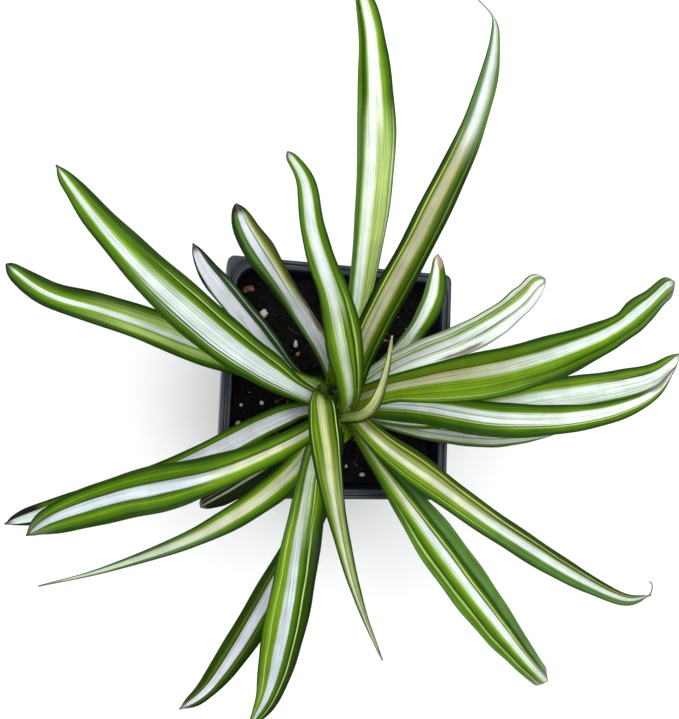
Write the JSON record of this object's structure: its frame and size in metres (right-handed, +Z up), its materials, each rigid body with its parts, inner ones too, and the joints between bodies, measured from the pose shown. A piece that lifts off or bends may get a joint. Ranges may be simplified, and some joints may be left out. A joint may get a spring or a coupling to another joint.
{
  "type": "potted spider plant",
  "caption": "Variegated spider plant with arching striped leaves growing from one crown in a square nursery pot of dark soil.",
  "frame": {"origin": "middle of the pot's flat underside, on the surface that the pot stands on", "axes": "+Z up; +X to the right and +Y to the back, square to the pot's sides, as seen from above"},
  "size_m": [0.2988, 0.2975, 0.1599],
  "materials": {
    "pot_plastic": "black moulded plastic with a soft blue-grey sheen",
    "peat": "loose dark peat with bark and perlite",
    "sheath": "pale green leaf bases, brown at their edges",
    "leaf": "smooth green blade with a white stripe along its middle"
  },
  "bodies": {
    "root": {"pot": "pot_plastic", "soil": "peat", "crown": "sheath", "leaf_centre_young": "leaf", "leaf_centre_top": "leaf", "leaf_front_narrow": "leaf", "leaf_back_right_long": "leaf", "leaf_back_left_long": "leaf", "leaf_right_long": "leaf", "leaf_left_broad": "leaf", "leaf_front_right_upper": "leaf", "leaf_front_long": "leaf", "leaf_back_tall": "leaf", "leaf_right_upper": "leaf", "leaf_back_left_inner": "leaf", "leaf_right_swept": "leaf", "leaf_front_left_thin": "leaf", "leaf_left_under": "leaf", "leaf_front_right_lower": "leaf", "leaf_left_behind": "leaf", "leaf_back_left_short": "leaf", "leaf_back_right_dry": "leaf", "leaf_right_lower": "leaf", "leaf_front_left_under": "leaf", "leaf_right_pale": "leaf", "leaf_left_shaded": "leaf"}
  },
  "joints": []
}
